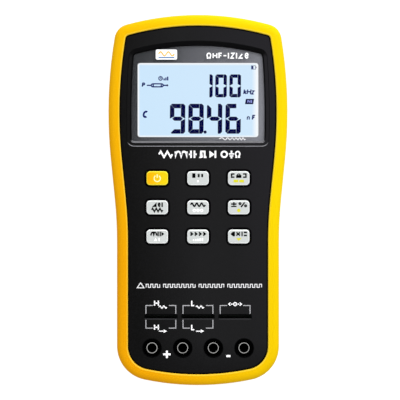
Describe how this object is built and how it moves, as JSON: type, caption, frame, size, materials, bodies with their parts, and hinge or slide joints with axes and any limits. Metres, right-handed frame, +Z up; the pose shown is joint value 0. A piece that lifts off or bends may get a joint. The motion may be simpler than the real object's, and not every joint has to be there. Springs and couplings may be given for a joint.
{
  "type": "handheld lcr meter",
  "caption": "Hand-held component meter in an elastic boot, with a lit display, sprung keys, test slots, plug sockets, a rear tilt stand and a screwed battery door.",
  "frame": {"origin": "centre of the bounding box, on the plane that the meter rests on", "axes": "+Z up through the display, +Y to the display end, +X to the right of the display"},
  "size_m": [0.089, 0.184, 0.041],
  "materials": {
    "boot_elastomer": "satin moulded elastomer",
    "case_plastic": "fine-grained matt moulding",
    "window_clear": "polished clear window",
    "border_print": "printed dark-to-grey border",
    "display_glass": "lit pale blue display",
    "white_plastic": "light guide",
    "black_plastic": "plain moulding",
    "board_laminate": "solder-masked laminate",
    "chip_resin": "moulded resin",
    "relay_plastic": "moulded case",
    "tin_plate": "tinned",
    "can_metal": "drawn can",
    "mat_rubber": "silicone mat",
    "key_grey": "satin key cap",
    "key_orange": "satin key cap",
    "pill_carbon": "carbon filled",
    "socket_metal": "nickel plated",
    "leaf_metal": "dark plated spring leaf",
    "cell_can": "printed jacket",
    "spring_steel": "nickel plated",
    "screw_steel": "zinc plated",
    "port_plastic": "dark infrared window",
    "diode_resin": "cast resin"
  },
  "bodies": {
    "housing": {"boot": "boot_elastomer", "front_case": "case_plastic", "rear_case": "case_plastic", "display_window": "window_clear", "window_border": "border_print", "lcd_glass": "display_glass", "lcd_bezel": "black_plastic", "backlight": "white_plastic", "zebra_strips": "mat_rubber", "keypad_mat": "mat_rubber", "main_board": "board_laminate", "board_chips": "chip_resin", "range_relays": "relay_plastic", "shield_can": "tin_plate", "board_capacitors": "can_metal", "quartz_crystal": "can_metal", "power_inductor": "chip_resin", "buzzer": "black_plastic", "socket_collars": "black_plastic", "slot_block": "black_plastic", "battery_plates": "spring_steel", "battery_springs": "spring_steel", "case_screws": "screw_steel", "board_screws": "screw_steel", "dc_jack": "black_plastic", "dc_jack_pin": "socket_metal", "port_window": "port_plastic", "port_diodes": "diode_resin", "slot_contact_high": "leaf_metal", "slot_contact_low": "leaf_metal", "slot_contact_guard": "leaf_metal", "battery_cell_1": "cell_can", "battery_cell_2": "cell_can", "test_socket_1": "socket_metal", "test_socket_2": "socket_metal", "test_socket_3": "socket_metal", "test_socket_4": "socket_metal"},
    "key_power": {"key_power": "key_orange", "pill_power": "pill_carbon"},
    "key_remote": {"key_remote": "key_grey", "pill_remote": "pill_carbon"},
    "key_hold": {"key_hold": "key_grey", "pill_hold": "pill_carbon"},
    "key_loss_factor": {"key_loss_factor": "key_grey", "pill_loss_factor": "pill_carbon"},
    "key_frequency": {"key_frequency": "key_grey", "pill_frequency": "pill_carbon"},
    "key_tolerance": {"key_tolerance": "key_grey", "pill_tolerance": "pill_carbon"},
    "key_function": {"key_function": "key_grey", "pill_function": "pill_carbon"},
    "key_speed": {"key_speed": "key_grey", "pill_speed": "pill_carbon"},
    "key_clear": {"key_clear": "key_grey", "pill_clear": "pill_carbon"},
    "tilt_stand": {"tilt_stand": "case_plastic"},
    "battery_door": {"battery_door": "case_plastic"},
    "door_screw_upper": {"door_screw_upper": "screw_steel"},
    "door_screw_lower": {"door_screw_lower": "screw_steel"}
  },
  "joints": [
    {"name": "power_press", "type": "slide", "parent": "housing", "child": "key_power", "axis": [0, 0, -1], "range_m": [0, 0.0012], "stiffness_N_per_m": 400, "springref_m": -0.001},
    {"name": "remote_press", "type": "slide", "parent": "housing", "child": "key_remote", "axis": [0, 0, -1], "range_m": [0, 0.0012], "stiffness_N_per_m": 400, "springref_m": -0.001},
    {"name": "hold_press", "type": "slide", "parent": "housing", "child": "key_hold", "axis": [0, 0, -1], "range_m": [0, 0.0012], "stiffness_N_per_m": 400, "springref_m": -0.001},
    {"name": "loss_factor_press", "type": "slide", "parent": "housing", "child": "key_loss_factor", "axis": [0, 0, -1], "range_m": [0, 0.0012], "stiffness_N_per_m": 400, "springref_m": -0.001},
    {"name": "frequency_press", "type": "slide", "parent": "housing", "child": "key_frequency", "axis": [0, 0, -1], "range_m": [0, 0.0012], "stiffness_N_per_m": 400, "springref_m": -0.001},
    {"name": "tolerance_press", "type": "slide", "parent": "housing", "child": "key_tolerance", "axis": [0, 0, -1], "range_m": [0, 0.0012], "stiffness_N_per_m": 400, "springref_m": -0.001},
    {"name": "function_press", "type": "slide", "parent": "housing", "child": "key_function", "axis": [0, 0, -1], "range_m": [0, 0.0012], "stiffness_N_per_m": 400, "springref_m": -0.001},
    {"name": "speed_press", "type": "slide", "parent": "housing", "child": "key_speed", "axis": [0, 0, -1], "range_m": [0, 0.0012], "stiffness_N_per_m": 400, "springref_m": -0.001},
    {"name": "clear_press", "type": "slide", "parent": "housing", "child": "key_clear", "axis": [0, 0, -1], "range_m": [0, 0.0012], "stiffness_N_per_m": 400, "springref_m": -0.001},
    {"name": "stand_hinge", "type": "hinge", "parent": "housing", "child": "tilt_stand", "pos_m": [0, 0.045, 0.0032], "axis": [1, 0, 0], "range_deg": [0, 70]},
    {"name": "door_lift_off", "type": "slide", "parent": "housing", "child": "battery_door", "axis": [0, 0, -1], "range_m": [0, 0.025]},
    {"name": "door_screw_upper_turn", "type": "hinge", "parent": "battery_door", "child": "door_screw_upper", "pos_m": [0, -0.0208, 0.0025], "axis": [0, 0, 1], "continuous": true},
    {"name": "door_screw_lower_turn", "type": "hinge", "parent": "battery_door", "child": "door_screw_lower", "pos_m": [0, -0.0642, 0.0025], "axis": [0, 0, 1], "continuous": true}
  ]
}
